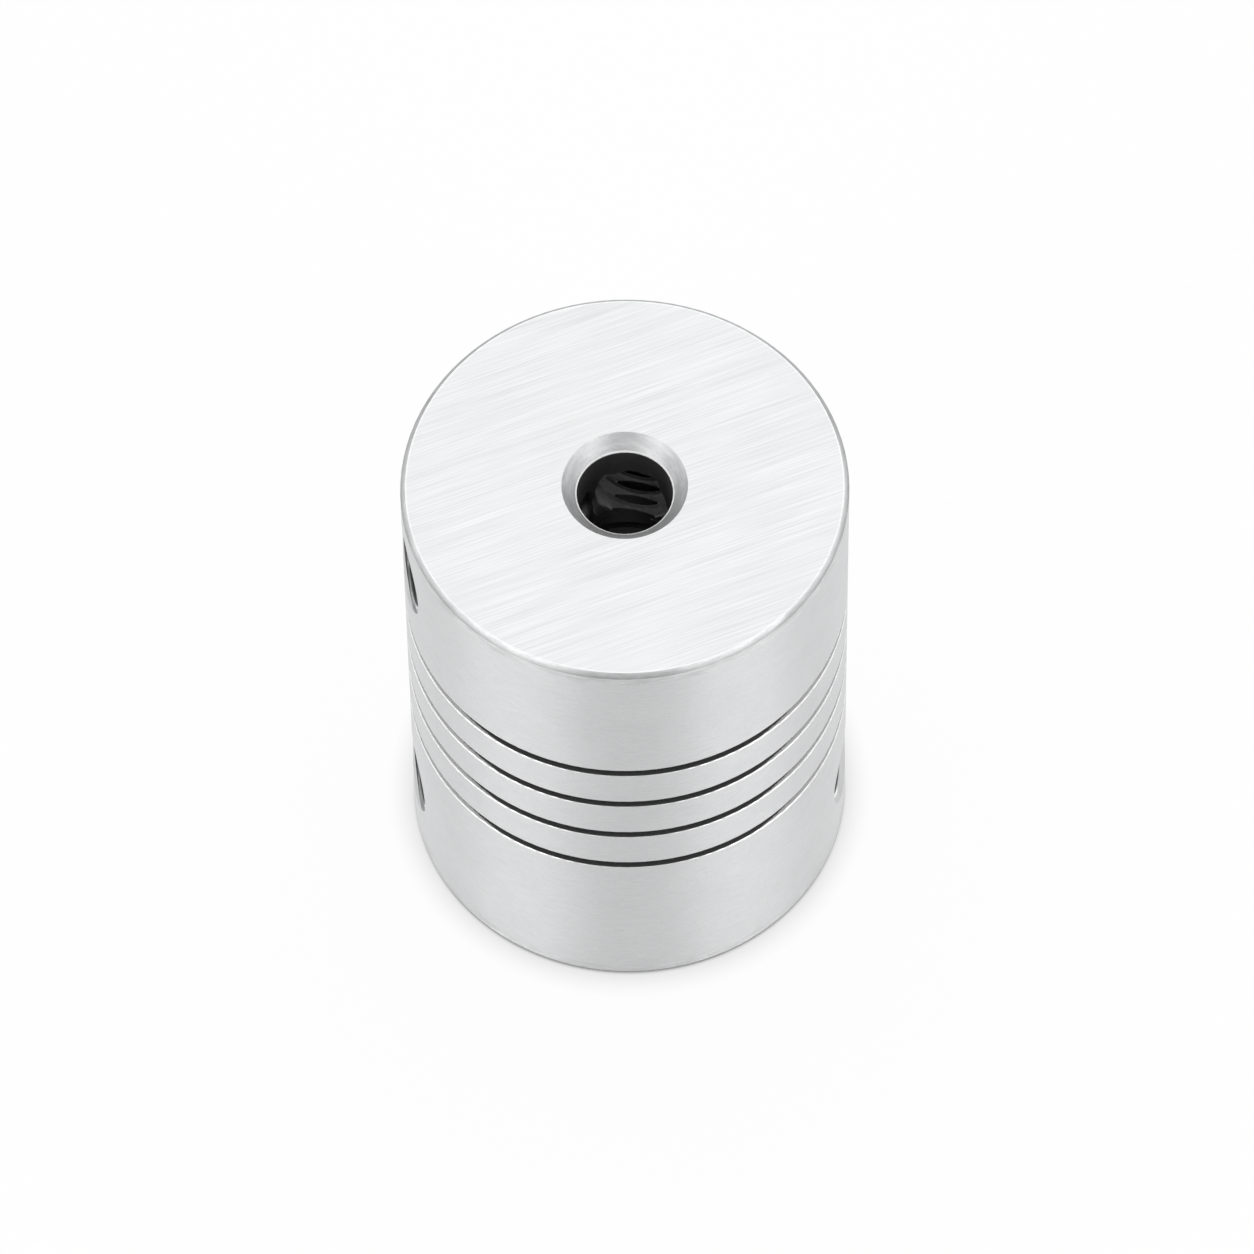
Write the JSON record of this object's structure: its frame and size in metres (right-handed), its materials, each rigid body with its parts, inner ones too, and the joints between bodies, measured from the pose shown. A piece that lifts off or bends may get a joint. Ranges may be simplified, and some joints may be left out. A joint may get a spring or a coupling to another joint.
{
  "type": "slit coupling",
  "caption": "One-piece cylindrical flexible shaft coupling with level slits round its middle, a chamfered bore at each end and set screws in the hubs.",
  "frame": {"origin": "centre of the lower end face, on the shaft axis", "axes": "+Z along the shaft axis towards the upper hub, which is the shorter one; -Y is the front, where all four slits are open"},
  "size_m": [0.019, 0.019, 0.025],
  "materials": {
    "machined_aluminium": "satin, fine-turned",
    "blackened_steel": "black oxide, satin"
  },
  "bodies": {
    "root": {"coupling_body": "machined_aluminium", "upper_set_screw_1": "blackened_steel", "upper_set_screw_2": "blackened_steel", "lower_set_screw_1": "blackened_steel", "lower_set_screw_2": "blackened_steel"}
  },
  "joints": []
}
